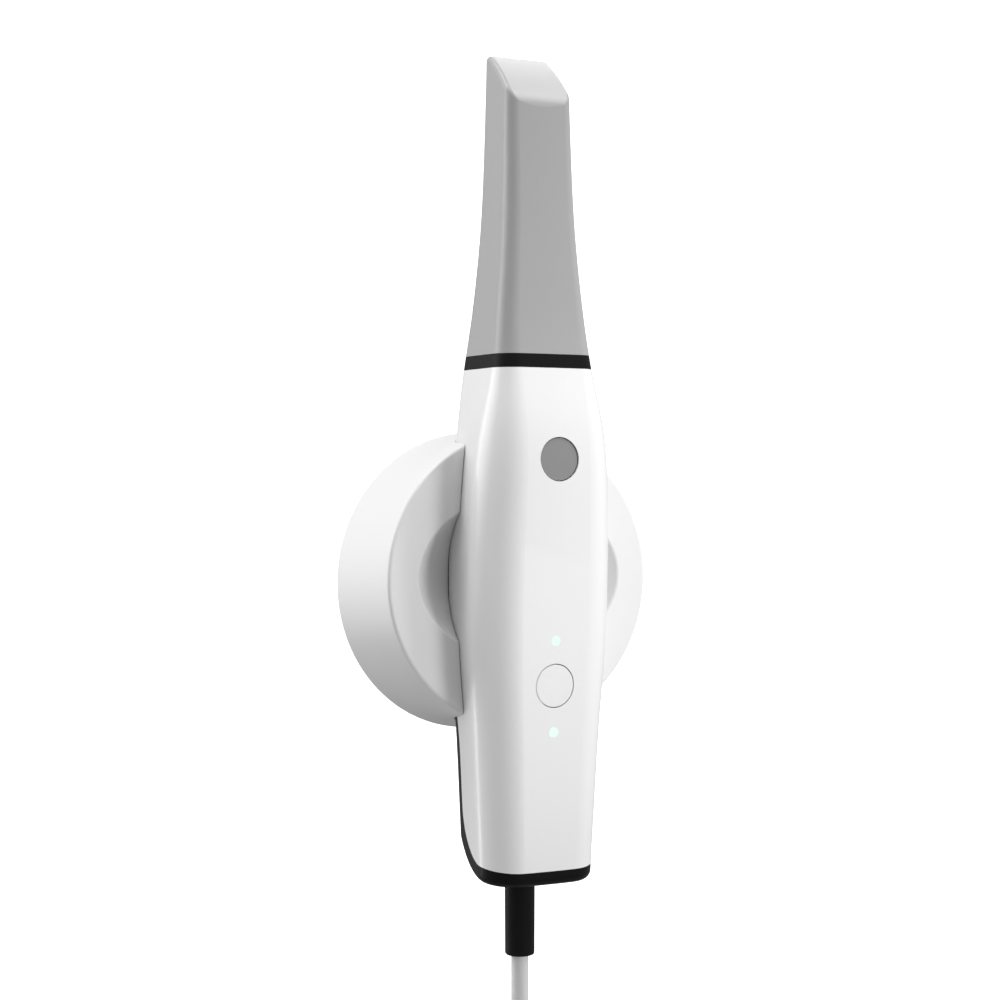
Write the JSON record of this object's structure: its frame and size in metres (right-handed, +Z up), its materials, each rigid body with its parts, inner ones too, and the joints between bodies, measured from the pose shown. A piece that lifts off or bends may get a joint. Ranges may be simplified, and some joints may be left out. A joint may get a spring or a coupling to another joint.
{
  "type": "intraoral scanner",
  "caption": "Handheld intraoral dental scanner with slip-on mirror tip, push buttons and status lights, seated in a round wall holder, its cable tied in a coil below",
  "frame": {"origin": "centre of the holder's back, on the wall", "axes": "+Y points into the wall, the buttons face -Y, +Z is up with the scanner's tip uppermost, +X is to the right when facing the buttons"},
  "size_m": [0.0859, 0.0501, 0.365],
  "materials": {
    "holder_white": "white moulded plastic, satin gloss",
    "plate_white": "white moulded plastic, matt",
    "magnet_nickel": "nickel plated",
    "keeper_steel": "bare steel",
    "shell_white": "white moulded plastic, high gloss",
    "cover_black": "black moulded plastic, gloss",
    "collar_black": "black moulded plastic, satin",
    "nose_black": "black moulded plastic, matt",
    "optic_glass": "clear coated glass",
    "tip_grey": "grey moulded plastic, satin",
    "tip_mirror": "front surface mirror",
    "button_grey": "grey soft plastic, matt",
    "button_white": "white moulded plastic, gloss",
    "light_mint": "clear plastic, lit pale green",
    "board_green": "green solder resist",
    "switch_black": "black moulded plastic",
    "led_white": "white ceramic-filled plastic",
    "chip_black": "black moulding compound",
    "sink_aluminium": "bare extruded",
    "connector_white": "natural nylon",
    "screw_steel": "zinc plated",
    "chassis_aluminium": "dark anodised",
    "barrel_black": "black anodised",
    "boot_black": "black elastomer, smooth",
    "lead_black": "black jacket",
    "cable_grey": "light grey smooth jacket",
    "tie_black": "woven hook and loop strap",
    "plug_grey": "light grey overmould, matt",
    "plug_steel": "nickel plated sheet",
    "tongue_white": "white moulded plastic"
  },
  "bodies": {
    "scanner": {"holder_body": "holder_white", "wall_plate": "plate_white", "holder_magnets": "magnet_nickel", "handpiece_keepers": "keeper_steel", "front_shell": "shell_white", "rear_cover": "cover_black", "collar_ring": "collar_black", "nose_tube": "nose_black", "nose_window": "optic_glass", "upper_light_pipe": "light_mint", "lower_light_pipe": "light_mint", "button_board": "board_green", "button_switches": "switch_black", "indicator_leds": "led_white", "main_board": "board_green", "processor_chip": "chip_black", "heat_sink": "sink_aluminium", "cable_connector": "connector_white", "board_screws": "screw_steel", "sensor_board": "board_green", "optics_chassis": "chassis_aluminium", "projector_barrel": "barrel_black", "projector_lens": "optic_glass", "camera_barrels": "barrel_black", "camera_lenses": "optic_glass", "cable_boot": "boot_black", "inner_lead": "lead_black", "cable": "cable_grey", "cable_coil": "cable_grey", "cable_tie": "tie_black", "cable_tail": "cable_grey", "plug_body": "plug_grey", "plug_shell": "plug_steel", "plug_tongue": "tongue_white"},
    "tip": {"scan_tip": "tip_grey", "tip_mirror": "tip_mirror"},
    "scan_key": {"scan_button": "button_grey"},
    "mode_key": {"mode_button": "button_white"}
  },
  "joints": [
    {"name": "tip_slide", "type": "slide", "parent": "scanner", "child": "tip", "axis": [0, 0, 1], "range_m": [0, 0.05]},
    {"name": "scan_press", "type": "slide", "parent": "scanner", "child": "scan_key", "axis": [0, 1, 0], "range_m": [0, 0.0006], "stiffness_N_per_m": 600, "springref_m": -0.001},
    {"name": "mode_press", "type": "slide", "parent": "scanner", "child": "mode_key", "axis": [0, 1, 0], "range_m": [0, 0.0006], "stiffness_N_per_m": 600, "springref_m": -0.001}
  ]
}
